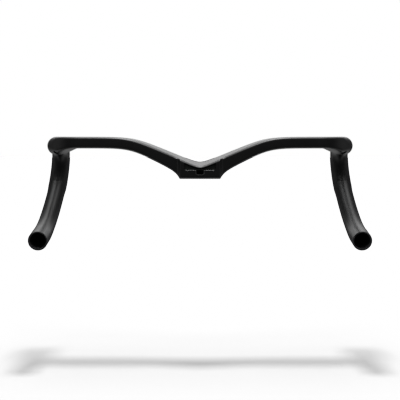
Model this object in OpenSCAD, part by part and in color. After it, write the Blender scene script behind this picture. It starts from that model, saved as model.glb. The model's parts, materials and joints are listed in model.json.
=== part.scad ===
// Drop handlebar with a gull-wing centre: moulded wing, two bonded drops, and a pitch cradle
// that takes the stem bolts. Millimetres. The origin is the centre of the flat stem seat,
// +X runs along the bar, +Y points forward and +Z up. The right side is mirrored to the left.

/* [Tops] */
// Half distance between the drop centre lines where they leave the tops
hood_half = 191.5; // [180:0.5:205]
// Height of the upper face of the tops above the stem seat
tops_top_z = 54.1; // [50:0.1:58]
// Thickness of the tops
tops_h = 15.1; // [13:0.1:18]
// Depth of the tops, front to back
tops_chord = 38; // [32:1:42]
// Distance of the tops' middle line ahead of the stem seat's centre
tops_y = 6; // [0:1:12]
// Wall thickness of the wing
wing_wall = 2.2; // [1.8:0.1:2.6]

/* [Bends] */
// Outer diameter of the round tube
tube_d = 24; // [22.2:0.1:25.4]
// Wall thickness of the round tube
tube_wall = 1.6; // [1.2:0.1:2]
// Height of the round tube's middle line at the hoods
hood_z = 42.5; // [41:0.1:44]
// Bend radius of the corner, seen from above
corner_r = 31; // [28:0.5:34]
// Inward turn of the ramps
toe_in = 2; // [0:0.5:4]
// Length of the straight ramp behind the lever
ramp_len = 20; // [18:1:24]
// Outward lean of the plane that each drop is bent in
flare = 6; // [0:0.5:10]
// Bend radius of the front of the hook
hook_r = 28; // [26:0.5:32]
// Bend radius below the lever
palm_r = 50; // [44:1:60]
// Angle bent at that radius
palm_angle = 43.5; // [38:0.5:46]
// Bend radius of the long curve that the hand slides along
grip_r = 172; // [150:1:190]
// Angle bent at that radius
grip_angle = 39; // [34:0.5:42]
// Roll of the long curve, which leads its end inwards
grip_roll = 4.5; // [0:0.5:6]
// How much slimmer the tube is where the hand slides along it, on the diameter
grip_relief = 0.6; // [0.4:0.1:1.2]
// Straight length at the open end
end_len = 35; // [32:1:40]

/* [Centre block] */
// Width of the block
block_w = 52; // [50:1:56]
// Depth of the block, front to back
block_len = 46; // [44:1:48]
// Height of the top skin's rear edge on the centre line
saddle_rear_z = 16; // [15.8:0.1:17]
// Height of the top skin's front edge on the centre line
saddle_front_z = 21.8; // [21.5:0.1:24]
// Width of the mouth in the rear face
mouth_w = 40.6; // [38:0.1:42]
// Height of the ledge under the mouth
ledge_z = 10.9; // [10.5:0.1:11.5]
// Width of the notch that the brake hoses pass
notch_w = 11.2; // [10:0.2:11.6]

/* [Pitch cradle] */
// Width of the cradle
cradle_w = 35; // [34:0.5:35.5]
// Height of the pivot above the stem seat
pivot_z = 10.5; // [10:0.1:11]
// Trunnion diameter
trunnion_d = 8; // [6:0.5:8]
// Distance between the two stem bolts
bolt_pitch = 20; // [20:0.5:20.5]
// Tapping diameter of the M5 stem bolts
tapped_d = 4.2; // [4:0.1:4.3]

/* [Hose ports] */
// Diameter of the hole in the underside of each corner
port_d = 9; // [8:0.5:9]
// Angle round the corner at which the hole lies
port_turn = 47; // [40:1:50]
// Lean of the hole's axis, back from straight down
port_tilt = 37; // [30:1:45]

/* [Hidden] */
$fn = 96;
slip = 0.05;            // radial gap of a bonded or running fit
cut = 1;                // how far a cutting shape runs past a face
ring_points = 20;       // points round each wing section
tube_r = tube_d / 2;
bore_r = tube_r - tube_wall;
tops_bottom_z = tops_top_z - tops_h;
bend_start_x = hood_half - corner_r * cos(toe_in);
corner_angle = 90 + toe_in;
joint_at = 6;           // the wing keeps this much of the ramp
split_x = 25;           // the moulded wing is three nodes, which meet here
seam_angle = 31;        // where hook and grip meet, in the palm bend
sleeve_t = 1.6;         // wall of the bonded sleeves, with their bond gap
block_y = block_len / 2;
block_x = block_w / 2;
seat_pad_h = 0.6;       // the seat pad stands this far below the underside
seat_plate_t = 3;
web_x = 19;             // inner face of each web
web_t = 4;
bush_r = 6;
bush_lip = 0.8;
press_len = 4;          // how much of each trunnion sits in the cradle
cradle_front_y = 15;
cradle_rear_y = -19;
cradle_bottom_z = 5;
cradle_h = 7.6;
arch_w = 10.8;
arch_top_z = 11;
insert_r = 3;
slot_w = 6.6;
slot_len = 9.6;
skin_t = 2.2;           // skin left above the mouth
notch_bottom_z = 4.6;
notch_corner_r = 2.6;
carbon = "#17181a";
carbon_dark = "#1d1e20";
alloy = "#2a2d2b";
steel = "#8d9094";
rubber = "#101010";
resin = "#3a3b3d";

// ---- Moving along the tube: +Z is ahead and +X is the inside of the bend ----

module bend(r, a) {
  translate([r, 0, 0]) rotate([0, a, 0]) translate([-r, 0, 0]) children();
}

module ahead(l) {
  translate([0, 0, l]) children();
}

module ring_2d(outer, inner) {
  difference() {
    circle(r = outer);
    circle(r = inner);
  }
}

module straight_tube(l, outer, inner) {
  linear_extrude(height = l) ring_2d(outer, inner);
}

module bent_tube(r, a, outer, inner) {
  translate([r, 0, 0]) rotate([90, 0, 180]) rotate_extrude(angle = a, $fn = 180)
    translate([r, 0]) ring_2d(outer, inner);
}

// The start of the right ramp, where the corner bend ends
module at_ramp() {
  translate([hood_half, tops_y + corner_r * (1 - cos(corner_angle)), hood_z])
    rotate([0, 0, toe_in]) rotate([-90, 0, 0]) rotate([0, 0, 90 - flare]) children();
}

module at_seam() {
  at_ramp() ahead(ramp_len) bend(hook_r, 90) bend(palm_r, seam_angle) children();
}

module left() {
  mirror([1, 0, 0]) children();
}

// ---- Wing sections ----

// The smaller of a and b, rounded over a width w
function soft_min(a, b, w) = b - w * ln(1 + exp((b - a) / w));

// 0 below 0, 1 above 1 and a smooth step between
function ease(t) = let (u = min(1, max(0, t))) u * u * (3 - 2 * u);

function mix(a, b, t) = a + (b - a) * t;

// A V with a rounded root at height z0
function vee(x, z0, slope, root) = z0 + slope * (sqrt(x * x + root * root) - root);

function power(t, e) = sign(t) * pow(abs(t), e);

// How far the block's fillet still reaches at x
function fillet(x) = x <= block_x ? 1 : exp((block_x - x) / 5);

function front_top(x) = soft_min(vee(x, saddle_front_z, 0.42, 8), tops_top_z, 4);
function rear_top(x) = soft_min(vee(x, saddle_rear_z, 0.45, 6), tops_top_z, 4.5);
function underside(x) =
  x <= block_x ? seat_pad_h : soft_min(0.51 * x - 6.9, tops_bottom_z, 5) - (6.4 - seat_pad_h) * fillet(x);
function rear_edge(x) = mix(tops_y - tops_chord / 2, -block_y, fillet(x));
function front_edge(x) = mix(block_y, tops_y + tops_chord / 2, ease(x / 90));
arm_squareness = 4.5;
function squareness(x) = mix(8, arm_squareness, ease((x - 24) / 60));

// One section as [rear, front, bottom, rear top, front top, squareness]
function arm_section(x) =
  [rear_edge(x), front_edge(x), underside(x), rear_top(x), front_top(x), squareness(x)];

function bend_section(a) = let (t = ease(a / 62)) [
  -mix(tops_chord / 2, tube_r, t), mix(tops_chord / 2, tube_r, t),
  mix(tops_bottom_z, hood_z - tube_r, t),
  mix(tops_top_z, hood_z + tube_r, t), mix(tops_top_z, hood_z + tube_r, t),
  mix(arm_squareness, 2, t)
];

function thinned(s, w) = [s[0] + w, s[1] - w, s[2] + w, s[3] - w, s[4] - w, s[5]];

// Points of a section as [across, up]
function outline(s) = [
  for (i = [0:ring_points - 1])
    let (
      th = 360 * i / ring_points,
      u = power(cos(th), 2 / s[5]),
      v = power(sin(th), 2 / s[5]),
      top = mix(s[3], s[4], (u + 1) / 2)
    )
    [mix(s[0], s[1], (u + 1) / 2), mix(s[2], top, (v + 1) / 2)]
];

function arm_ring(x, w) = [for (p = outline(thinned(arm_section(x), w))) [x, p[0], p[1]]];

function bend_ring(a, past, w) = [
  for (p = outline(thinned(bend_section(a), w)))
    let (reach = corner_r - p[0])
    [
      bend_start_x + reach * sin(a) + past * cos(a),
      tops_y + corner_r - reach * cos(a) + past * sin(a),
      p[1]
    ]
];

arm_stations = [0, 8, 15, 20.5, 24, 26, 28, 31, 35, 41, 48, 56, 64, 72, 80, 88, 97, 108, 130, 159];
bend_stations = [0, 9, 18, 27, 36, 45, 55, 68, 80, corner_angle];
wing_end_wall = tube_wall - 0.2;

function right_rings(w, w_end) = concat(
  [for (x = arm_stations) arm_ring(x, w)],
  [for (a = bend_stations) bend_ring(a, 0, mix(w, w_end, ease(a / 62)))],
  [bend_ring(corner_angle, joint_at, w_end)]
);

function both_sides(rings) = concat(
  [for (k = [len(rings) - 1:-1:1]) [for (p = rings[k]) [-p[0], p[1], p[2]]]],
  rings
);

function flat_list(rings) = [for (r = rings) for (p = r) p];

module wing_shell() {
  outer = both_sides(right_rings(0, 0));
  inner = both_sides(right_rings(wing_wall, wing_end_wall));
  n = ring_points;
  rows = len(outer);
  all_outer = rows * n;
  last = (rows - 1) * n;
  skin = [
    for (k = [0:rows - 2]) for (i = [0:n - 1])
      let (a = k * n + i, b = k * n + (i + 1) % n, c = b + n, d = a + n)
      each [[a, d, c], [a, c, b]]
  ];
  lining = [for (f = skin) [f[0] + all_outer, f[2] + all_outer, f[1] + all_outer]];
  ends = [
    for (i = [0:n - 1]) let (j = (i + 1) % n) each [
      [i, j, j + all_outer],
      [i, j + all_outer, i + all_outer],
      [last + i, last + i + all_outer, last + j + all_outer],
      [last + i, last + j + all_outer, last + j]
    ]
  ];
  polyhedron(points = concat(flat_list(outer), flat_list(inner)), faces = concat(skin, lining, ends));
}

// ---- Centre block ----

module rod(r, l) {
  rotate([0, 90, 0]) cylinder(r = r, h = l);
}

module both_ways() {
  for (m = [0, 1]) mirror([m, 0, 0]) children();
}

module rounded_plate(w, l, h, r) {
  linear_extrude(height = h) union() {
    square([w - 2 * r, l], center = true);
    square([w, l - 2 * r], center = true);
    for (x = [-1, 1]) for (y = [-1, 1])
      translate([x * (w / 2 - r), y * (l / 2 - r)]) circle(r = r);
  }
}

// Upright shape that follows the saddle, lowered by gap, as a prism of depth d from y0
module under_saddle(w, z0, gap, y0, d) {
  translate([0, y0 + d, 0]) rotate([90, 0, 0]) linear_extrude(height = d)
    polygon(concat(
      [[w / 2, z0]],
      [for (t = [5:-1:-5]) let (x = w / 2 * t / 5) [x, rear_top(abs(x)) - gap]],
      [[-w / 2, z0]]
    ));
}

module bolt_slot() {
  half = (slot_len - slot_w) / 2;
  translate([0, 0, -cut]) linear_extrude(height = seat_plate_t + 3 * cut) union() {
    square([slot_w, 2 * half], center = true);
    for (y = [-half, half]) translate([0, y]) circle(d = slot_w);
  }
}

// Upright block of depth d from y0, with two rounded lower corners
module round_bottomed(w, z0, z1, r, y0, d) {
  translate([0, y0 + d, 0]) rotate([90, 0, 0]) linear_extrude(height = d) union() {
    translate([-w / 2, z0 + r]) square([w, z1 - z0 - r]);
    translate([-w / 2 + r, z0]) square([w - 2 * r, z1 - z0]);
    for (x = [-1, 1]) translate([x * (w / 2 - r), z0 + r]) circle(r = r);
  }
}

// The U in the rear face that the hoses pass, made narrower by inset all round
module notch(inset, z1, y0, d) {
  round_bottomed(notch_w - 2 * inset, notch_bottom_z + inset, z1, notch_corner_r - inset, y0, d);
}

module web() {
  web_rear_y = -16;
  web_front_y = 20.5;
  web_h = 16.5;
  translate([web_x, web_rear_y, seat_plate_t / 2]) cube([web_t, web_front_y - web_rear_y, web_h]);
}

// Where the hose port's axis leaves the middle of the right corner, with +Z pointing out of it
module at_port() {
  s = bend_section(port_turn);
  reach = corner_r * (1 - cos(port_turn));
  translate([bend_start_x + corner_r * sin(port_turn), tops_y + reach, (s[2] + s[3]) / 2])
    rotate([0, 0, port_turn]) rotate([180 - port_tilt, 0, 0]) children();
}

module wing() {
  difference() {
    union() {
      wing_shell();
      rounded_plate(block_w - 4, block_len - 5, seat_plate_t, 3);
      both_ways() web();
    }
    under_saddle(mouth_w, ledge_z, skin_t, -block_y - cut, 4.5);
    notch(0, ledge_z + cut, -block_y - cut, 5);
    both_ways() translate([bolt_pitch / 2, 0, 0]) bolt_slot();
    both_ways() translate([web_x - cut, 0, pivot_z]) rod(bush_r, web_t + 2 * cut);
    both_ways() at_port() cylinder(d = port_d, h = 2 * tube_r);
  }
}

// The part of the wing between two distances from the centre plane
module wing_between(x0, x1) {
  color(carbon) intersection() {
    wing();
    translate([x0, -60, -60]) cube([x1 - x0, 160, 160]);
  }
}

module trunnion_bush() {
  color(resin) translate([0, 0, pivot_z]) difference() {
    union() {
      translate([web_x, 0, 0]) rod(bush_r, web_t);
      translate([web_x - bush_lip, 0, 0]) rod(bush_r + 0.9, bush_lip);
    }
    translate([web_x - bush_lip - cut, 0, 0]) rod(trunnion_d / 2 + slip, web_t + bush_lip + 2 * cut);
  }
}

module trunnion() {
  free_len = 5;
  color(steel) translate([cradle_w / 2 - press_len, 0, pivot_z]) rod(trunnion_d / 2, press_len + free_len);
}

module pitch_cradle() {
  lip_t = 2.1;
  lip_gap = 0.3;
  depth = cradle_front_y - cradle_rear_y;
  boss_r = 6;
  color(alloy) difference() {
    union() {
      translate([-cradle_w / 2, cradle_rear_y + lip_t - 0.1, cradle_bottom_z])
        cube([cradle_w, depth - lip_t + 0.1, cradle_h]);
      both_ways() translate([cradle_w / 2 - press_len, 0, pivot_z]) rod(boss_r, press_len);
      under_saddle(mouth_w - 2 * lip_gap, cradle_bottom_z + 0.4, skin_t + 1.7, cradle_rear_y, lip_t);
    }
    // tunnel for the hoses, open below
    mirror([0, 0, 1]) round_bottomed(arch_w, -arch_top_z, 0, 2, cradle_rear_y - cut, depth + 2 * cut);
    both_ways() {
      translate([bolt_pitch / 2, 0, cradle_bottom_z - cut]) cylinder(r = insert_r, h = cradle_h + 2 * cut);
      translate([cradle_w / 2 - press_len, 0, pivot_z]) rod(trunnion_d / 2, press_len + cut);
    }
  }
}

module stem_thread_inserts() {
  color(steel) both_ways()
    translate([bolt_pitch / 2, 0, cradle_bottom_z]) straight_tube(cradle_h, insert_r, tapped_d / 2);
}

module hose_mouth_grommet() {
  lip = 0.7;
  wall = 0.7;
  inside = 2.5;
  color(rubber) difference() {
    notch(slip, ledge_z, -block_y - lip, lip + inside);
    notch(wall, ledge_z + cut, -block_y - lip - cut, lip + inside + 2 * cut);
  }
}

// ---- Drops, right side ----

module hook() {
  color(carbon) union() {
    at_ramp() ahead(joint_at) straight_tube(ramp_len - joint_at, tube_r, bore_r);
    at_ramp() ahead(ramp_len) bent_tube(hook_r, 90, tube_r, bore_r);
    at_ramp() ahead(ramp_len) bend(hook_r, 90) bent_tube(palm_r, seam_angle, tube_r, bore_r);
  }
}

module at_long_curve() {
  at_seam() bend(palm_r, palm_angle - seam_angle) rotate([0, 0, grip_roll]) children();
}

// The small steps keep faces of one radius from meeting at a tangent
module grip() {
  step = 0.1;
  overlap_angle = 0.3;
  slim_r = tube_r - grip_relief / 2;
  color(carbon_dark) union() {
    at_seam() bent_tube(palm_r, palm_angle - seam_angle + overlap_angle, slim_r + step, bore_r);
    at_long_curve() bent_tube(grip_r, grip_angle, slim_r, bore_r - step);
    at_long_curve() bend(grip_r, grip_angle) straight_tube(end_len, tube_r, bore_r);
  }
}

module ramp_sleeve() {
  color(resin) at_ramp() ahead(joint_at - 5.5) straight_tube(8, bore_r - slip, bore_r - sleeve_t);
}

module grip_sleeve() {
  half_angle = 9;
  color(resin) at_ramp() ahead(ramp_len) bend(hook_r, 90) bend(palm_r, seam_angle - half_angle)
    bent_tube(palm_r, 2 * half_angle, bore_r - slip, bore_r - sleeve_t);
}

// Both ends are flat, and the outer one stays just under the wing's surface
module port_grommet() {
  wall = 1.2;
  inner_end = 9.7;
  outer_end = 11.4;
  color(rubber) at_port() ahead(inner_end)
    straight_tube(outer_end - inner_end, port_d / 2 - slip, port_d / 2 - wall);
}

wing_between(-split_x, split_x);  // centre_block
wing_between(-hood_half - 60, -split_x);  // left_arm
wing_between(split_x, hood_half + 60);  // right_arm
left() hook();  // left_hook
hook();  // right_hook
left() grip();  // left_grip
grip();  // right_grip
left() ramp_sleeve();  // left_ramp_sleeve
ramp_sleeve();  // right_ramp_sleeve
left() grip_sleeve();  // left_grip_sleeve
grip_sleeve();  // right_grip_sleeve
left() port_grommet();  // left_port_grommet
port_grommet();  // right_port_grommet
pitch_cradle();
left() trunnion();  // left_trunnion
trunnion();  // right_trunnion
left() trunnion_bush();  // left_trunnion_bush
trunnion_bush();  // right_trunnion_bush
stem_thread_inserts();
hose_mouth_grommet();
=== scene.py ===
"""Looks of a drop handlebar: moulded wing, bonded drops, rubber edges and an alloy pitch cradle.

Lengths are metres unless a name ends in _mm. +X runs along the bar, +Y points forward and +Z up.
"""

import json
import logging
import math
from dataclasses import dataclass, field
from enum import Enum
from typing import Callable, Sequence

import bmesh
import bpy
from mathutils import Matrix, Vector


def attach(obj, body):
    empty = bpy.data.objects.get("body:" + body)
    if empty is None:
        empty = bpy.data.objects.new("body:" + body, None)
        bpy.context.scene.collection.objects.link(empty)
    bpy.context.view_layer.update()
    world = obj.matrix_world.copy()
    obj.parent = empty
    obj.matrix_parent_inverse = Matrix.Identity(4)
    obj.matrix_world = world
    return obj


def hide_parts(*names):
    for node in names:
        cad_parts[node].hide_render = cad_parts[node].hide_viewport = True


LOG = logging.getLogger("handlebar")
MM = 0.001
SHARP = math.radians(40)

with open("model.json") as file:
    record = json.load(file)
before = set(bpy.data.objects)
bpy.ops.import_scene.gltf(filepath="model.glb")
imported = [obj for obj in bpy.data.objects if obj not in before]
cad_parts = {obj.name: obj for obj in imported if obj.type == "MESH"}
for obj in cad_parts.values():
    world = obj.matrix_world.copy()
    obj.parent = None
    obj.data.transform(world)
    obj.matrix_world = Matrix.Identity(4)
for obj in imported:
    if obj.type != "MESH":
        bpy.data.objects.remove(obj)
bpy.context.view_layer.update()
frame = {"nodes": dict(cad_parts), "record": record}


class Side(Enum):
    """Which half of the bar a piece belongs to."""

    LEFT = -1
    RIGHT = 1

    @property
    def word(self) -> str:
        """The side's name as node names spell it."""
        return self.name.lower()


# ---------------------------------------------------------------- numbers


def mix(a: float, b: float, t: float) -> float:
    """The value a share t of the way from a to b."""
    return a + (b - a) * t


def ease(t: float) -> float:
    """A smooth step from 0 to 1."""
    u = min(1.0, max(0.0, t))
    return u * u * (3 - 2 * u)


def soft_min(a: float, b: float, width: float) -> float:
    """The smaller of a and b, rounded where they cross.

    Args:
        a: The value that grows past b.
        b: The value it levels out at.
        width: How wide the rounded crossing is.

    Returns:
        The rounded minimum.
    """
    return b - width * math.log(1 + math.exp((b - a) / width))


def vee(x: float, root_z: float, slope: float, root: float) -> float:
    """Height of a V with a rounded root.

    Args:
        x: Distance from the root.
        root_z: Height at the root.
        slope: Slope of the flanks.
        root: How wide the rounding is.

    Returns:
        The height at x.
    """
    return root_z + slope * (math.hypot(x, root) - root)


def power(t: float, exponent: float) -> float:
    """A power that keeps its base's sign."""
    return math.copysign(abs(t) ** exponent, t)


# ---------------------------------------------------------------- shader maths


@dataclass
class Wire:
    """A shader value that adds Math nodes when it is used in an expression."""

    kit: "Nodes"
    socket: bpy.types.NodeSocket

    def _math(self, operation: str, *values: "Wire | float") -> "Wire":
        """Adds one Math node and returns its result."""
        inputs = dict(enumerate(values))
        return self.kit.wire(self.kit.node("ShaderNodeMath", {"operation": operation}, inputs))

    def __add__(self, other: "Wire | float") -> "Wire":
        """Sum."""
        return self._math("ADD", self, other)

    __radd__ = __add__

    def __sub__(self, other: "Wire | float") -> "Wire":
        """Difference."""
        return self._math("SUBTRACT", self, other)

    def __rsub__(self, other: float) -> "Wire":
        """Reflected difference."""
        return self._math("SUBTRACT", other, self)

    def __mul__(self, other: "Wire | float") -> "Wire":
        """Product."""
        return self._math("MULTIPLY", self, other)

    __rmul__ = __mul__

    def __abs__(self) -> "Wire":
        """Absolute value."""
        return self._math("ABSOLUTE", self)

    def most(self, other: "Wire | float") -> "Wire":
        """The larger of two values."""
        return self._math("MAXIMUM", self, other)

    def step(self, low: float, high: float) -> "Wire":
        """A smooth step.

        Args:
            low: Where it is 0.
            high: Where it is 1, which may be less than low.

        Returns:
            The step.
        """
        settings = {"interpolation_type": "SMOOTHSTEP"}
        inputs = {"Value": self, "From Min": low, "From Max": high}
        return self.kit.wire(self.kit.node("ShaderNodeMapRange", settings, inputs))


@dataclass
class Nodes:
    """Adds nodes to one tree."""

    tree: bpy.types.NodeTree

    def node(self, kind: str, settings: dict | None = None, inputs: dict | None = None) -> bpy.types.Node:
        """Adds a node.

        Args:
            kind: The node's type.
            settings: Its settings, such as a Math node's operation.
            inputs: Values or links by socket name or number.

        Returns:
            The node.
        """
        made = self.tree.nodes.new(kind)
        for key, value in (settings or {}).items():
            setattr(made, key, value)
        for key, value in (inputs or {}).items():
            self.feed(made.inputs[key], value)
        return made

    def feed(self, socket: bpy.types.NodeSocket, value: object) -> None:
        """Links a value into a socket, or sets it there.

        Args:
            socket: The socket.
            value: A wire, an output socket, or a plain value.
        """
        if isinstance(value, Wire):
            value = value.socket
        if isinstance(value, bpy.types.NodeSocket):
            self.tree.links.new(value, socket)
        else:
            socket.default_value = value

    def wire(self, made: bpy.types.Node) -> Wire:
        """A node's first result as a value."""
        return Wire(self, made.outputs[0])

    def axis(self, place: bpy.types.NodeSocket, letter: str) -> Wire:
        """One coordinate of a place."""
        split = self.node("ShaderNodeSeparateXYZ", {}, {0: place})
        return Wire(self, split.outputs[letter])


class Shader(Nodes):
    """Builds one material's nodes."""

    def __init__(self, name: str) -> None:
        """Makes an empty material with a Principled shader.

        Args:
            name: The material's name.
        """
        self.material = bpy.data.materials.new(name)
        self.material.use_nodes = True
        super().__init__(self.material.node_tree)
        self.surface = self.tree.nodes["Principled BSDF"]
        self.place = self.node("ShaderNodeTexCoord").outputs["Object"]

    def noise(self, scale: float, detail: float = 3, squeeze: Sequence[float] = (1, 1, 1)) -> Wire:
        """Noise between 0 and 1.

        Args:
            scale: Waves to the metre.
            detail: Octaves.
            squeeze: Scale of each axis.

        Returns:
            The noise.
        """
        mapping = self.node("ShaderNodeMapping", {}, {"Vector": self.place, "Scale": squeeze})
        inputs = {"Vector": mapping.outputs[0], "Scale": scale, "Detail": detail}
        return self.wire(self.node("ShaderNodeTexNoise", {"noise_dimensions": "3D"}, inputs))

    def blend(self, share: Wire, a: Sequence[float], b: Sequence[float]) -> bpy.types.NodeSocket:
        """Mixes two colours.

        Args:
            share: 0 for the first colour and 1 for the second.
            a: The first colour.
            b: The second colour.

        Returns:
            The mixed colour.
        """
        made = self.node("ShaderNodeMix", {"data_type": "RGBA"}, {"Factor": share})
        self.feed(made.inputs[6], (*a, 1))
        self.feed(made.inputs[7], (*b, 1))
        return made.outputs[2]

    def bump(self, height: Wire, depth: float, strength: float = 1) -> None:
        """Raises the surface by a height between 0 and 1.

        Args:
            height: The height.
            depth: How high 1 is.
            strength: How strongly the shading follows it.
        """
        inputs = {"Height": height, "Distance": depth, "Strength": strength}
        made = self.node("ShaderNodeBump", {}, inputs)
        self.feed(self.surface.inputs["Normal"], made.outputs[0])

    def set(self, **values: object) -> None:
        """Feeds the Principled shader's sockets, with _ for a space in their names."""
        for key, value in values.items():
            self.feed(self.surface.inputs[key.replace("_", " ")], value)


# ---------------------------------------------------------------- finishes


@dataclass(frozen=True)
class Lacquer:
    """Near-black carbon laminate under a satin clear coat, with fine grip dots if it is speckled."""

    name: str
    deep: tuple = (0.0045, 0.0045, 0.005)
    pale: tuple = (0.0075, 0.0076, 0.0082)
    rough: float = 0.42
    coat: float = 0.5
    coat_rough: float = 0.36
    speckle: bool = False

    def build(self) -> bpy.types.Material:
        """Makes the material.

        Returns:
            The material.
        """
        kit = Shader(self.name)
        cloud = kit.noise(38)
        strands = kit.noise(900, 2, (0.12, 1, 1))
        orange = kit.noise(420, 2)
        grain = kit.noise(5200, 1)
        tone = (cloud * 0.7 + strands * 0.3).step(0.35, 0.65)
        rough = self.rough + (cloud - 0.5) * 0.1 + (grain - 0.5) * 0.06
        height = orange * 0.8 + grain * 0.2
        if self.speckle:
            dots = kit.noise(2600, 0).step(0.56, 0.66)
            high = kit.axis(kit.place, "Z")
            zone = high.step(0.024, 0.018) * high.step(-0.006, 0.0)
            height = height + dots * zone * 5
            rough = rough + dots * zone * 0.15
        kit.set(
            Base_Color=kit.blend(tone, self.deep, self.pale), Roughness=rough,
            Coat_Weight=self.coat, Coat_Roughness=self.coat_rough, IOR=1.5,
        )
        kit.bump(height, 0.00001)
        return kit.material


@dataclass(frozen=True)
class Plain:
    """A fine-grained finish: anodised or ground metal, rubber, resin or bare laminate."""

    name: str
    dark: tuple
    light: tuple
    rough: float
    metallic: float = 0.0
    grain_scale: float = 3000
    grain_depth: float = 0.00003
    squeeze: tuple = (1, 1, 1)

    def build(self) -> bpy.types.Material:
        """Makes the material.

        Returns:
            The material.
        """
        kit = Shader(self.name)
        cloud = kit.noise(120)
        grain = kit.noise(self.grain_scale, 2, self.squeeze)
        tone = (cloud * 0.5 + grain * 0.5).step(0.3, 0.7)
        kit.set(
            Base_Color=kit.blend(tone, self.dark, self.light),
            Roughness=self.rough + (grain - 0.5) * 0.2, Metallic=self.metallic,
        )
        kit.bump(grain, self.grain_depth)
        return kit.material


@dataclass
class Finishes:
    """Every finish of the bar, by the record's material slot, and a paler rubber for the hose mouth's
    grommet that is a painted highlight.
    """

    made: dict = field(default_factory=dict)

    def __post_init__(self) -> None:
        """Builds the materials."""
        finishes = {
            "carbon_wing": Lacquer("wing_lacquer"),
            "carbon_hook": Lacquer("hook_lacquer", speckle=True),
            "carbon_grip": Lacquer("grip_lacquer", rough=0.45, coat=0.4),
            "joint_sleeve": Plain("bare_laminate", (0.04, 0.04, 0.042), (0.08, 0.08, 0.085), 0.6),
            "grommet": Plain("moulded_rubber", (0.018, 0.018, 0.018), (0.035, 0.035, 0.035), 0.62),
            "cradle_alloy": Plain(
                "black_anodised", (0.07, 0.078, 0.072), (0.1, 0.11, 0.104), 0.5, 0.6, 5200
            ),
            "steel": Plain(
                "ground_steel", (0.32, 0.33, 0.34), (0.5, 0.51, 0.52), 0.32, 1.0, 2400,
                0.00001, (0.1, 1, 1)
            ),
            # The hose mouth's grommet: rubber painted paler than it is, a painted highlight standing in
            # for its lit U-shaped rim.
            "grommet_painted_highlight": Plain("pale_rubber", (0.1, 0.1, 0.1), (0.15, 0.15, 0.15), 0.55),
            "bush": Plain("bearing_resin", (0.05, 0.05, 0.052), (0.09, 0.09, 0.094), 0.5),
        }
        for slot, finish in finishes.items():
            self.made[slot] = finish.build()

    def dress(self, piece: bpy.types.Object, slot: str) -> None:
        """Gives a piece one finish alone.

        Args:
            piece: The piece.
            slot: The finish's key, which is the record's slot name but for the hose mouth's grommet,
                whose paler rubber is a painted highlight.
        """
        piece.data.materials.clear()
        piece.data.materials.append(self.made[slot])


# ---------------------------------------------------------------- modelling


def choose_only(*chosen: bpy.types.Object) -> None:
    """Selects these objects and makes the first one active.

    Args:
        chosen: The objects.
    """
    bpy.ops.object.select_all(action="DESELECT")
    for piece in chosen:
        piece.select_set(True)
    bpy.context.view_layer.objects.active = chosen[0]


def tidy_mesh(piece: bpy.types.Object, merge: float = 1e-6) -> None:
    """Merges doubles and turns every face outwards.

    Args:
        piece: The piece.
        merge: Points closer than this become one.
    """
    choose_only(piece)
    bpy.ops.object.mode_set(mode="EDIT")
    bpy.ops.mesh.select_all(action="SELECT")
    bpy.ops.mesh.remove_doubles(threshold=merge)
    bpy.ops.mesh.normals_make_consistent(inside=False)
    bpy.ops.object.mode_set(mode="OBJECT")


def smooth(piece: bpy.types.Object, degrees: float = 32) -> None:
    """Shades a piece smooth, with its sharp edges kept."""
    choose_only(piece)
    bpy.ops.object.shade_smooth_by_angle(angle=math.radians(degrees))


def weigh_normals(piece: bpy.types.Object) -> None:
    """Lets large flat faces set the normals at their borders.

    Args:
        piece: The piece.
    """
    choose_only(piece)
    weigh = piece.modifiers.new("weigh", "WEIGHTED_NORMAL")
    weigh.keep_sharp = True
    bpy.ops.object.modifier_apply(modifier=weigh.name)


def wrapped(name: str, rings: Sequence[Sequence[Vector]]) -> bpy.types.Object:
    """Wraps a grid round a row of rings.

    Args:
        name: The piece's name.
        rings: Rings of points, all with the same count. A closed skin repeats no point.

    Returns:
        The piece, open at its first and last ring.
    """
    rows, columns = len(rings) - 1, len(rings[0])
    bpy.ops.object.select_all(action="DESELECT")
    bpy.ops.mesh.primitive_grid_add(x_subdivisions=rows, y_subdivisions=columns, size=1)
    piece = bpy.context.object
    piece.name = piece.data.name = name
    for vertex in piece.data.vertices:
        row = round((vertex.co.x + 0.5) * rows)
        column = round((vertex.co.y + 0.5) * columns) % columns
        vertex.co = rings[row][column]
    return piece


def close_ends(piece: bpy.types.Object) -> None:
    """Fills the open ends of a wrapped piece and cleans it.

    Args:
        piece: The piece.
    """
    tidy_mesh(piece)
    bpy.ops.object.mode_set(mode="EDIT")
    bpy.ops.mesh.select_all(action="DESELECT")
    bpy.ops.mesh.select_mode(type="EDGE")
    bpy.ops.mesh.select_non_manifold()
    bpy.ops.mesh.edge_face_add()
    bpy.ops.mesh.select_all(action="SELECT")
    bpy.ops.mesh.normals_make_consistent(inside=False)
    bpy.ops.object.mode_set(mode="OBJECT")


def prism(name: str, outline: Sequence[Vector], run: Vector) -> bpy.types.Object:
    """Extrudes a flat outline.

    Args:
        name: The solid's name.
        outline: Points in order round the outline.
        run: The extrusion.

    Returns:
        The closed solid.
    """
    bpy.ops.object.select_all(action="DESELECT")
    bpy.ops.mesh.primitive_circle_add(vertices=len(outline), radius=1, fill_type="NGON")
    solid = bpy.context.object
    solid.name = name
    for vertex, point in zip(solid.data.vertices, outline):
        vertex.co = point
    bpy.ops.object.mode_set(mode="EDIT")
    bpy.ops.mesh.select_all(action="SELECT")
    bpy.ops.mesh.extrude_region_move(TRANSFORM_OT_translate={"value": run})
    bpy.ops.mesh.select_all(action="SELECT")
    bpy.ops.mesh.normals_make_consistent(inside=False)
    bpy.ops.object.mode_set(mode="OBJECT")
    return solid


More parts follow.
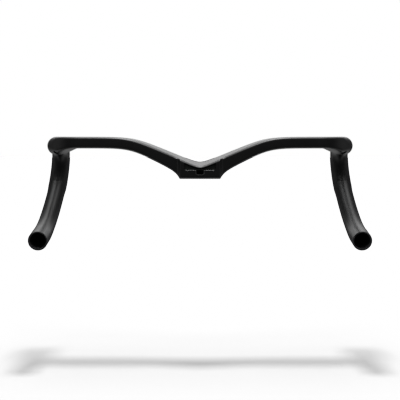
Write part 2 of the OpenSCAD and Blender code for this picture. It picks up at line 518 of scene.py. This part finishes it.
def carve(piece: bpy.types.Object, cutter: bpy.types.Object) -> None:
    """Cuts a solid out of a piece and removes the cutter.

    Args:
        piece: The piece.
        cutter: The solid to cut out.
    """
    choose_only(piece)
    cut = piece.modifiers.new("cut", "BOOLEAN")
    cut.operation = "DIFFERENCE"
    cut.solver = "EXACT"
    cut.object = cutter
    bpy.ops.object.modifier_apply(modifier=cut.name)
    bpy.data.objects.remove(cutter)


def flatten(piece: bpy.types.Object, wanted: Callable[[Vector], bool]) -> None:
    """Merges the flat faces whose centres lie in a place, so that bevels have room.

    Args:
        piece: The piece.
        wanted: Says whether a point lies in the place.
    """
    choose_only(piece)
    bpy.ops.object.mode_set(mode="EDIT")
    bpy.ops.mesh.select_mode(type="FACE")
    bpy.ops.mesh.select_all(action="DESELECT")
    mesh = bmesh.from_edit_mesh(piece.data)
    for face in mesh.faces:
        face.select = wanted(face.calc_center_median())
    bmesh.update_edit_mesh(piece.data)
    bpy.ops.mesh.dissolve_limited(angle_limit=math.radians(0.2))
    bpy.ops.object.mode_set(mode="OBJECT")


def round_edges(
    piece: bpy.types.Object, wanted: Callable[[Vector], bool], width: float, segments: int = 3
) -> None:
    """Bevels the edges sharper than 40 degrees whose ends both lie in a place.

    Args:
        piece: The piece.
        wanted: Says whether a point lies in the place.
        width: Width of the bevel.
        segments: 1 for a flat chamfer, or more for a round one.
    """
    choose_only(piece)
    bpy.ops.object.mode_set(mode="EDIT")
    bpy.ops.mesh.select_mode(type="EDGE")
    bpy.ops.mesh.select_all(action="DESELECT")
    mesh = bmesh.from_edit_mesh(piece.data)
    for edge in mesh.edges:
        sharp = len(edge.link_faces) == 2 and edge.calc_face_angle() > SHARP
        edge.select = sharp and all(wanted(v.co) for v in edge.verts)
    LOG.info("rounding %d edges of %s", sum(edge.select for edge in mesh.edges), piece.name)
    bmesh.update_edit_mesh(piece.data)
    bpy.ops.mesh.bevel(offset=width, segments=segments, profile=0.5, clamp_overlap=True)
    bpy.ops.object.mode_set(mode="OBJECT")


# ---------------------------------------------------------------- the tube's path


@dataclass
class Path:
    """A frame that moves along a tube: its Z is ahead and its X is the inside of the bend."""

    matrix: Matrix
    frames: list = field(default_factory=list)

    def mark(self) -> None:
        """Keeps the present frame as a station."""
        self.frames.append(self.matrix.copy())

    def straight(self, length: float, steps: int) -> None:
        """Goes straight on.

        Args:
            length: How far.
            steps: Number of stations.
        """
        for _ in range(steps):
            self.matrix = self.matrix @ Matrix.Translation((0, 0, length / steps))
            self.mark()

    def bend(self, radius: float, degrees: float, steps: int) -> None:
        """Goes round a bend.

        Args:
            radius: Radius of the bend.
            degrees: Angle of the bend.
            steps: Number of stations.
        """
        out, back = Matrix.Translation((radius, 0, 0)), Matrix.Translation((-radius, 0, 0))
        turn = out @ Matrix.Rotation(math.radians(degrees / steps), 4, "Y") @ back
        for _ in range(steps):
            self.matrix = self.matrix @ turn
            self.mark()

    def roll(self, degrees: float) -> None:
        """Turns the frame about the way ahead."""
        self.matrix = self.matrix @ Matrix.Rotation(math.radians(degrees), 4, "Z")


@dataclass
class DropLine:
    """Sizes of a drop's middle line, in millimetres and degrees, as the structure has them."""

    hood_half: float = 191.5
    hood_z: float = 42.5
    tops_y: float = 6
    corner_r: float = 31
    toe_in: float = 2
    flare: float = 6
    ramp: float = 20
    joint_at: float = 6
    hook_r: float = 28
    palm_r: float = 50
    seam_angle: float = 31
    palm_angle: float = 43.5
    long_roll: float = 4.5
    long_r: float = 172
    long_angle: float = 39
    end: float = 35
    tube_r: float = 12
    wall: float = 1.6

    @property
    def corner_angle(self) -> float:
        """Angle that the corner turns through."""
        return 90 + self.toe_in

    @property
    def corner_x(self) -> float:
        """Where the right corner bend starts."""
        return self.hood_half - self.corner_r * math.cos(math.radians(self.toe_in))

    def ramp_frame(self) -> Matrix:
        """The frame at the start of the right ramp.

        Returns:
            The frame.
        """
        y = self.tops_y + self.corner_r * (1 - math.cos(math.radians(self.corner_angle)))
        turns = Matrix.Rotation(math.radians(self.toe_in), 4, "Z")
        turns = turns @ Matrix.Rotation(math.radians(-90), 4, "X")
        turns = turns @ Matrix.Rotation(math.radians(90 - self.flare), 4, "Z")
        return Matrix.Translation((self.hood_half * MM, y * MM, self.hood_z * MM)) @ turns

    def hook_path(self) -> Path:
        """Stations from the ramp joint to the seam.

        Returns:
            The path, with its stations marked.
        """
        path = Path(self.ramp_frame() @ Matrix.Translation((0, 0, self.joint_at * MM)))
        path.mark()
        path.straight((self.ramp - self.joint_at) * MM, 4)
        path.bend(self.hook_r * MM, 90, 30)
        path.bend(self.palm_r * MM, self.seam_angle, 12)
        return path

    def grip_path(self) -> Path:
        """Stations from the seam to the open end.

        Returns:
            The path, with its stations marked.
        """
        path = Path(self.hook_path().matrix)
        path.mark()
        path.bend(self.palm_r * MM, self.palm_angle - self.seam_angle, 6)
        path.roll(self.long_roll)
        path.bend(self.long_r * MM, self.long_angle, 36)
        path.straight(self.end * MM, 12)
        return path


def circle_ring(place: Matrix, across: float, along: float, count: int, side: Side) -> list[Vector]:
    """Points of an oval round a station.

    Args:
        place: The station's frame.
        across: Half width on the frame's Y axis, which is the bar's X.
        along: Half width on the frame's X axis, the plane of the bend.
        count: Number of points.
        side: Side of the bar.

    Returns:
        The points.
    """
    points = []
    for i in range(count):
        angle = math.tau * i / count
        point = place @ Vector((along * math.cos(angle), across * math.sin(angle), 0))
        points.append(Vector((point.x * side.value, point.y, point.z)))
    return points


# ---------------------------------------------------------------- wing


@dataclass
class Wing:
    """The moulded wing: centre block, arms, tops and corner bends. Sizes in millimetres and degrees."""

    line: DropLine
    tops_top: float = 54.1
    tops_h: float = 15.1
    tops_chord: float = 38
    block_half: float = 26
    block_y: float = 23
    saddle_rear: float = 16
    saddle_front: float = 21.8
    mouth_half: float = 20.3
    ledge: float = 10.9
    notch_half: float = 5.6
    notch_low: float = 4.6
    notch_corner: float = 2.6
    cavity_half: float = 18.8
    cavity_floor: float = 3
    cavity_y: tuple = (-20.8, 20)
    mouth_y: tuple = (-24, -19.5)
    notch_end: float = -20
    lower_round: float = 2
    bolt_x: float = 10
    slot_r: float = 3.3
    slot_reach: float = 1.5
    lip_chamfer: float = 0.9
    port_round: float = 0.5
    ring_points: int = 72
    skin: float = 2.2
    corner: float = 1.7
    flank: float = 1.8
    block_square: float = 11
    arm_square: float = 7
    round_by: float = 62
    port_turn: float = 47
    port_tilt: float = 37
    port_d: float = 9

    def front_top(self, x: float) -> float:
        """Height of the top skin's front edge."""
        return soft_min(vee(x, self.saddle_front, 0.42, 8), self.tops_top, 4)

    def rear_top(self, x: float) -> float:
        """Height of the top skin's rear edge."""
        return soft_min(vee(x, self.saddle_rear, 0.45, 6), self.tops_top, 4.5)

    def fillet(self, x: float) -> float:
        """How far the block's fillet still reaches."""
        return 1.0 if x <= self.block_half else math.exp((self.block_half - x) / 5)

    def underside(self, x: float) -> float:
        """Height of the underside.

        Args:
            x: Distance from the middle.

        Returns:
            The height.
        """
        if x <= self.block_half:
            return 0.0
        flat = soft_min(0.51 * x - 6.9, self.tops_top - self.tops_h, 5)
        return flat - 6.4 * self.fillet(x)

    def rear_edge(self, x: float) -> float:
        """Where the rear face lies: it rounds the block's corner and then fairs into the arm.

        Args:
            x: Distance from the middle.

        Returns:
            The rear face's Y.
        """
        start = self.block_half - self.corner
        if x <= start:
            return -self.block_y
        if x <= self.block_half:
            return self.corner - self.block_y - math.sqrt(max(0.0, self.corner**2 - (x - start) ** 2))
        share = math.exp((self.block_half - x) / self.flank)
        return mix(self.line.tops_y - self.tops_chord / 2, self.corner - self.block_y, share)

    def section(self, x: float) -> tuple:
        """The section's sizes.

        Args:
            x: Distance from the middle.

        Returns:
            Rear, front, bottom, rear top, front top and squareness.
        """
        rear = self.rear_edge(x)
        front = mix(self.block_y, self.line.tops_y + self.tops_chord / 2, ease(x / 90))
        square = mix(self.block_square, self.arm_square, ease((x - 25) / 50))
        return rear, front, self.underside(x), self.rear_top(x), self.front_top(x), square

    def outline(self, section: tuple) -> list[tuple]:
        """The outline of a section.

        Args:
            section: Rear, front, bottom, rear top, front top and squareness.

        Returns:
            Its points as pairs, across and up.
        """
        rear, front, bottom, rear_top, front_top, square = section
        points = []
        for i in range(self.ring_points):
            angle = math.tau * i / self.ring_points
            u = (power(math.cos(angle), 2 / square) + 1) / 2
            v = (power(math.sin(angle), 2 / square) + 1) / 2
            points.append((mix(rear, front, u), mix(bottom, mix(rear_top, front_top, u), v)))
        return points

    def arm_ring(self, x: float) -> list[Vector]:
        """The ring of points at x."""
        return [Vector((x, y, z)) * MM for y, z in self.outline(self.section(x))]

    def bend_heights(self, degrees: float) -> tuple[float, float, float]:
        """How the corner bend turns from flat to round.

        Args:
            degrees: Angle into the bend.

        Returns:
            The share of the change, and the heights of the top and the bottom.
        """
        line, t = self.line, ease(degrees / self.round_by)
        top = mix(self.tops_top, line.hood_z + line.tube_r, t)
        bottom = mix(self.tops_top - self.tops_h, line.hood_z - line.tube_r, t)
        return t, top, bottom

    def bend_ring(self, degrees: float, past: float) -> list[Vector]:
        """The ring of points in the corner bend.

        Args:
            degrees: Angle into the bend.
            past: Distance past the bend's end.

        Returns:
            The points.
        """
        line = self.line
        t, top, bottom = self.bend_heights(degrees)
        half = mix(self.tops_chord / 2, line.tube_r, t)
        sine, cosine = math.sin(math.radians(degrees)), math.cos(math.radians(degrees))
        ring = []
        for across, up in self.outline((-half, half, bottom, top, top, mix(self.arm_square, 2, t))):
            reach = line.corner_r - across
            x = line.corner_x + reach * sine + past * cosine
            y = line.tops_y + line.corner_r - reach * cosine + past * sine
            ring.append(Vector((x, y, up)) * MM)
        return ring

    def stations(self) -> list[float]:
        """Where the arm rings lie, closest together at the block's corner.

        Returns:
            Distances from the middle.
        """
        block = [2 * i for i in range(13)]
        rounding = [24.3, 24.8, 25.2, 25.5, 25.7, 25.85, 25.95, 26]
        corner = [26.2, 26.5, 27, 27.6, 28.3, 29.2, 30.2, 31.5, 33, 35, 37.5, 40]
        arm = [43 + 3.5 * i for i in range(22)]
        tops = [121 + 6.5 * i for i in range(7)]
        return block + rounding + corner + arm + tops

    def rings(self) -> list[list[Vector]]:
        """Every ring, from the left ramp to the right.

        Returns:
            The rings.
        """
        right = [self.arm_ring(x) for x in self.stations()]
        right += [self.bend_ring(self.line.corner_angle * i / 24, 0) for i in range(25)]
        right.append(self.bend_ring(self.line.corner_angle, self.line.joint_at))
        left = [[Vector((-p.x, p.y, p.z)) for p in ring] for ring in reversed(right[1:])]
        return left + right

    def lower_corners(self, half: float, floor: float, y: float, radius: float) -> list[Vector]:
        """The rounded lower corners of an outline, left and then right.

        Args:
            half: Half width of the outline.
            floor: Height of its floor.
            y: Where it lies.
            radius: Radius of the corners.

        Returns:
            The points.
        """
        points = []
        for centre_x, first in ((radius - half, 180), (half - radius, 270)):
            for turn in range(7):
                angle = math.radians(first + 15 * turn)
                x = centre_x + radius * math.cos(angle)
                points.append(Vector((x, y, floor + radius + radius * math.sin(angle))))
        return points

    def saddle_prism(self, half: float, floor: float, span: tuple[float, float]) -> bpy.types.Object:
        """A solid that follows the saddle from below.

        Args:
            half: Half width.
            floor: Height of its floor.
            span: Its rear and front end.

        Returns:
            The solid.
        """
        y0, y1 = span
        top = [half * (1 - i / 8) for i in range(17)]
        points = [Vector((x, y0, self.rear_top(abs(x)) - self.skin)) for x in top]
        points += self.lower_corners(half, floor, y0, self.lower_round)
        return prism("saddle_cut", [p * MM for p in points], Vector((0, (y1 - y0) * MM, 0)))

    def notch_prism(self) -> bpy.types.Object:
        """The U that the hoses pass, from behind the rear face to the cavity.

        Returns:
            The solid.
        """
        y0, high = -self.block_y - 1, self.ledge + 0.5
        points = [Vector((self.notch_half, y0, high)), Vector((-self.notch_half, y0, high))]
        points += self.lower_corners(self.notch_half, self.notch_low, y0, self.notch_corner)
        run = Vector((0, (self.notch_end - y0) * MM, 0))
        return prism("notch_cut", [p * MM for p in points], run)

    def slot_prism(self, side: Side) -> bpy.types.Object:
        """The slot for one stem bolt, through the floor.

        Args:
            side: Side of the bar.

        Returns:
            The solid.
        """
        points, count = [], 12
        for end in (1, -1):
            for i in range(count + 1):
                angle = math.pi * i / count + (0 if end > 0 else math.pi)
                x = side.value * self.bolt_x + self.slot_r * math.cos(angle)
                points.append(Vector((x, end * self.slot_reach + self.slot_r * math.sin(angle), -1)))
        return prism("slot_cut", [p * MM for p in points], Vector((0, 0, 5 * MM)))

    def port_cutter(self, side: Side) -> bpy.types.Object:
        """The solid that a hose port leaves empty, in the underside of a corner.

        Args:
            side: Side of the bar.

        Returns:
            The solid.
        """
        line = self.line
        top, bottom = self.bend_heights(self.port_turn)[1:]
        turn, tilt = math.radians(self.port_turn), math.radians(self.port_tilt)
        x = line.corner_x + line.corner_r * math.sin(turn)
        y = line.tops_y + line.corner_r * (1 - math.cos(turn))
        place = Matrix.Translation(Vector((x, y, (top + bottom) / 2)) * MM)
        place = place @ Matrix.Rotation(turn, 4, "Z") @ Matrix.Rotation(math.pi - tilt, 4, "X")
        flip = Matrix.Diagonal((side.value, 1, 1, 1))
        radius, count = self.port_d / 2, 48
        angles = [math.tau * i / count for i in range(count)]
        circle = [Vector((radius * math.cos(a), radius * math.sin(a), 3)) * MM for a in angles]
        outline = [flip @ place @ point for point in circle]
        run = flip.to_3x3() @ place.to_3x3() @ Vector((0, 0, 14 * MM))
        return prism("port_cut", outline, run)

    def build(self) -> bpy.types.Object:
        """Makes the wing's mesh.

        Returns:
            The piece.
        """
        piece = wrapped("wing_body", self.rings())
        close_ends(piece)
        carve(piece, self.saddle_prism(self.cavity_half, self.cavity_floor, self.cavity_y))
        carve(piece, self.saddle_prism(self.mouth_half, self.ledge, self.mouth_y))
        carve(piece, self.notch_prism())
        for side in Side:
            carve(piece, self.slot_prism(side))
            carve(piece, self.port_cutter(side))
        tidy_mesh(piece, 0.04 * MM)
        flatten(piece, lambda p: self.on_rear_face(p) or abs(p.z - self.ledge * MM) < 0.05 * MM)
        round_edges(piece, self.on_lip, self.lip_chamfer * MM, 1)
        round_edges(piece, self.on_port_rim, self.port_round * MM)
        smooth(piece)
        weigh_normals(piece)
        return piece

    def on_rear_face(self, point: Vector) -> bool:
        """Whether a point lies on the block's rear face."""
        return point.y < -(self.block_y - 0.25) * MM

    def on_lip(self, point: Vector) -> bool:
        """Whether a point lies on the rear edge of the mouth's lip."""
        near = abs(point.x) < 21 * MM and abs(point.z - self.ledge * MM) < 2.1 * MM
        return near and self.on_rear_face(point)

    def on_port_rim(self, point: Vector) -> bool:
        """Whether a point lies on the underside of a corner, where only the port has sharp edges."""
        return abs(point.x) > 180 * MM and point.y < 25 * MM and point.z < 40 * MM

    def dress(self, piece: bpy.types.Object, finishes: Finishes) -> None:
        """Gives the wing its finish and its place in the structure.

        Args:
            piece: The wing.
            finishes: The bar's finishes.
        """
        finishes.dress(piece, "carbon_wing")
        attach(piece, "bar")
        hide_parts("centre_block", "left_arm", "right_arm")


# ---------------------------------------------------------------- drops


@dataclass
class Drop:
    """One drop: its hook and its grip. Sizes in millimetres."""

    line: DropLine
    side: Side
    points: int = 64
    slim: float = 0.75
    seam_step: float = 0.12
    hook_lip: float = 0.15
    grip_lip: float = 0.25

    def ring(self, place: Matrix, size: tuple, inset: float, shift: float = 0) -> list[Vector]:
        """A ring of the tube.

        Args:
            place: The station.
            size: Half widths of the outside, across and along.
            inset: Distance inside the outside.
            shift: Distance ahead of the station.

        Returns:
            The points.
        """
        station = place @ Matrix.Translation((0, 0, shift))
        return circle_ring(station, size[0] - inset, size[1] - inset, self.points, self.side)

    def shell(self, name: str, frames: list[Matrix], sizes: list[tuple], lip: float) -> bpy.types.Object:
        """A tube with a bore and rounded lips.

        Args:
            name: The piece's name.
            frames: Stations along the tube.
            sizes: Half widths of the outside at each station, across and along.
            lip: Radius of the rounding at both ends.

        Returns:
            The piece.
        """
        wall = self.line.wall * MM
        start, end = (frames[0], sizes[0]), (frames[-1], sizes[-1])
        between = list(zip(frames, sizes))[1:-1]
        corners = [math.radians(a) for a in (67.5, 45, 22.5, 0)]
        rings = []
        for a in reversed(corners):
            rings.append(self.ring(*start, lip * (1 - math.sin(a)), lip * (1 - math.cos(a))))
        rings += [self.ring(place, size, 0) for place, size in between]
        for a in corners:
            rings.append(self.ring(*end, lip * (1 - math.sin(a)), -lip * (1 - math.cos(a))))
        rings.append(self.ring(*end, wall - lip))
        rings.append(self.ring(*end, wall, -lip))
        rings += [self.ring(place, size, wall) for place, size in reversed(between)]
        rings.append(self.ring(*start, wall))
        rings.append(rings[0])
        piece = wrapped(name, rings)
        tidy_mesh(piece)
        return piece

    def build_hook(self) -> bpy.types.Object:
        """Makes the hook.

        Returns:
            The piece.
        """
        frames = self.line.hook_path().frames
        sizes = [(self.line.tube_r * MM, self.line.tube_r * MM)] * len(frames)
        piece = self.shell(f"{self.side.word}_hook_tube", frames, sizes, self.hook_lip * MM)
        smooth(piece)
        return piece

    def build_grip(self) -> bpy.types.Object:
        """Makes the grip, slimmer across where the hand slides.

        Returns:
            The piece.
        """
        frames = self.line.grip_path().frames
        radius, count = self.line.tube_r * MM, len(frames)
        sizes = []
        for i in range(count):
            share = ease((i - 1) / 8) * ease((count - 10 - i) / 16)
            less = self.slim * share + self.seam_step * ease(1 - i / 2)
            sizes.append((radius - less * MM, radius))
        piece = self.shell(f"{self.side.word}_grip_tube", frames, sizes, self.grip_lip * MM)
        smooth(piece)
        return piece

    def line_bore(self, piece: bpy.types.Object, frames: list[Matrix], finishes: Finishes) -> None:
        """Gives the faces inside a tube the bare laminate's finish.

        Args:
            piece: The tube.
            frames: Stations along it.
            finishes: The bar's finishes.
        """
        piece.data.materials.append(finishes.made["joint_sleeve"])
        inside = (self.line.tube_r - self.line.wall / 2) * MM
        flip = Matrix.Diagonal((self.side.value, 1, 1))
        middles = [flip @ place.translation for place in frames]
        for face in piece.data.polygons:
            if min((face.center - middle).length for middle in middles) < inside:
                face.material_index = 1

    def dress(self, hook: bpy.types.Object, grip: bpy.types.Object, finishes: Finishes) -> None:
        """Gives both pieces their finish and their place in the structure.

        Args:
            hook: The hook.
            grip: The grip.
            finishes: The bar's finishes.
        """
        for piece, node in ((hook, "hook"), (grip, "grip")):
            finishes.dress(piece, f"carbon_{node}")
            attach(piece, "bar")
            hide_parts(f"{self.side.word}_{node}")
        self.line_bore(grip, self.line.grip_path().frames, finishes)


# ---------------------------------------------------------------- structure pieces that stay


@dataclass
class KeptParts:
    """The structure's own pieces, which only get their finishes."""

    replaced: set

    def dress(self, finishes: Finishes) -> None:
        """Gives each kept node its slot's finish, but the hose mouth's grommet a paler rubber that is a
        painted highlight on its lit rim.

        Args:
            finishes: The bar's finishes.
        """
        slots = {s["node"]: s["material_slot"] for s in frame["record"]["subparts"]}
        for node, slot in slots.items():
            if node not in self.replaced:
                # The hose mouth's grommet gets the paler rubber, which is a painted highlight.
                look = "grommet_painted_highlight" if node == "hose_mouth_grommet" else slot
                finishes.dress(frame["nodes"][node], look)
                LOG.info("kept %s with finish %s", node, slot)


# ---------------------------------------------------------------- studio


@dataclass
class Studio:
    """Pale floor, soft light and the camera. The surround's shares say how bright each direction is."""

    floor_drop: float = 0.245
    eye_back: float = 1.44
    eye_height: float = 0.0369
    eye_tilt: float = 2.593
    lens: float = 99.36
    ahead: float = 1.15
    ahead_low: float = 0.45
    above: float = 1.8
    beside: float = 0.2
    below: float = 0.3
    behind: float = 0.058

    def build_floor(self) -> None:
        """A wide pale floor."""
        bpy.ops.object.select_all(action="DESELECT")
        bpy.ops.mesh.primitive_plane_add(size=80, location=(0, 0, 0))
        floor = bpy.context.object
        floor.name = "studio_floor"
        for vertex in floor.data.vertices:
            vertex.co.z = -self.floor_drop
        kit = Shader("pale_floor")
        cloud = kit.noise(3)
        kit.set(
            Base_Color=kit.blend(cloud, (0.93, 0.93, 0.93), (0.95, 0.95, 0.95)),
            Roughness=0.7 + cloud * 0.1, Specular_IOR_Level=0.2,
        )
        floor.data.materials.append(kit.material)
        floor.is_shadow_catcher = True
        floor.visible_glossy = floor.visible_diffuse = False

    def build_world(self) -> None:
        """A surround that is white behind the bar and, in reflections, brightest ahead and above."""
        world = bpy.data.worlds.new("studio_world")
        bpy.context.scene.world = world
        world.use_nodes = True
        world.node_tree.nodes.clear()
        kit = Nodes(world.node_tree)
        way = kit.node("ShaderNodeTexCoord").outputs["Generated"]
        x, y, z = kit.axis(way, "X"), kit.axis(way, "Y"), kit.axis(way, "Z")
        wide = abs(x)
        front = y.step(0.1, 0.75) * self.ahead * z.step(-0.02, 0.12) * wide.step(0.46, 0.14)
        front_low = y.step(0.3, 0.7) * self.ahead_low * z.step(-0.15, -0.4)
        glow = front.most(front_low).most(z.step(0.7, 0.95) * self.above)
        glow = glow.most(wide.step(0.75, 1.0) * self.beside)
        glow = glow.most((z * -1.0).step(0.55, 0.95) * self.below).most(self.behind)
        seen = kit.node("ShaderNodeLightPath").outputs["Is Camera Ray"]
        pick = kit.node("ShaderNodeMix", {"data_type": "FLOAT"}, {0: seen, 2: glow, 3: 1.0})
        shade = {"Color": (1, 1, 1, 1), "Strength": pick.outputs[0]}
        back = kit.node("ShaderNodeBackground", {}, shade)
        kit.node("ShaderNodeOutputWorld", {}, {"Surface": back.outputs[0]})

    def build_light(self) -> None:
        """A soft light overhead, and a weak one above the viewer."""
        for name, size, energy, place, tilt in (
            ("overhead", (0.3, 0.3), 17, (0, -0.05, 1.5), 0),
            ("fill", (0.6, 0.3), 2, (0, -1.0, 1.3), 38),
        ):
            light = bpy.data.lights.new(name, "AREA")
            light.shape = "RECTANGLE"
            light.size, light.size_y = size
            light.energy = energy
            lamp = bpy.data.objects.new(name, light)
            bpy.context.scene.collection.objects.link(lamp)
            lamp.location = place
            lamp.rotation_euler = (math.radians(tilt), 0, 0)

    def build_camera(self) -> None:
        """The camera behind the rider's side of the bar."""
        data = bpy.data.cameras.new("camera")
        data.lens = self.lens
        data.sensor_width = 36
        data.clip_end = 200
        camera = bpy.data.objects.new("camera", data)
        bpy.context.scene.collection.objects.link(camera)
        camera.location = (0, -self.eye_back, self.eye_height)
        camera.rotation_euler = (math.radians(90 - self.eye_tilt), 0, 0)
        bpy.context.scene.camera = camera

    def build(self) -> None:
        """Sets up the studio."""
        bpy.context.scene.view_settings.view_transform = "Standard"
        self.build_floor()
        self.build_world()
        self.build_light()
        self.build_camera()


def main() -> None:
    """Builds the handlebar and its studio."""
    logging.basicConfig(level=logging.INFO, format="%(name)s: %(message)s")
    Studio().build()
    finishes = Finishes()
    line = DropLine()
    replaced = {"centre_block", "left_arm", "right_arm"}
    wing = Wing(line)
    body = wing.build()
    wing.dress(body, finishes)
    LOG.info("built %s with %d faces", body.name, len(body.data.polygons))
    for side in Side:
        drop = Drop(line, side)
        hook, grip = drop.build_hook(), drop.build_grip()
        drop.dress(hook, grip, finishes)
        replaced |= {f"{side.word}_hook", f"{side.word}_grip"}
        for piece in (hook, grip):
            LOG.info("built %s with %d faces", piece.name, len(piece.data.polygons))
    KeptParts(replaced).dress(finishes)


if __name__ == "__main__":
    main()
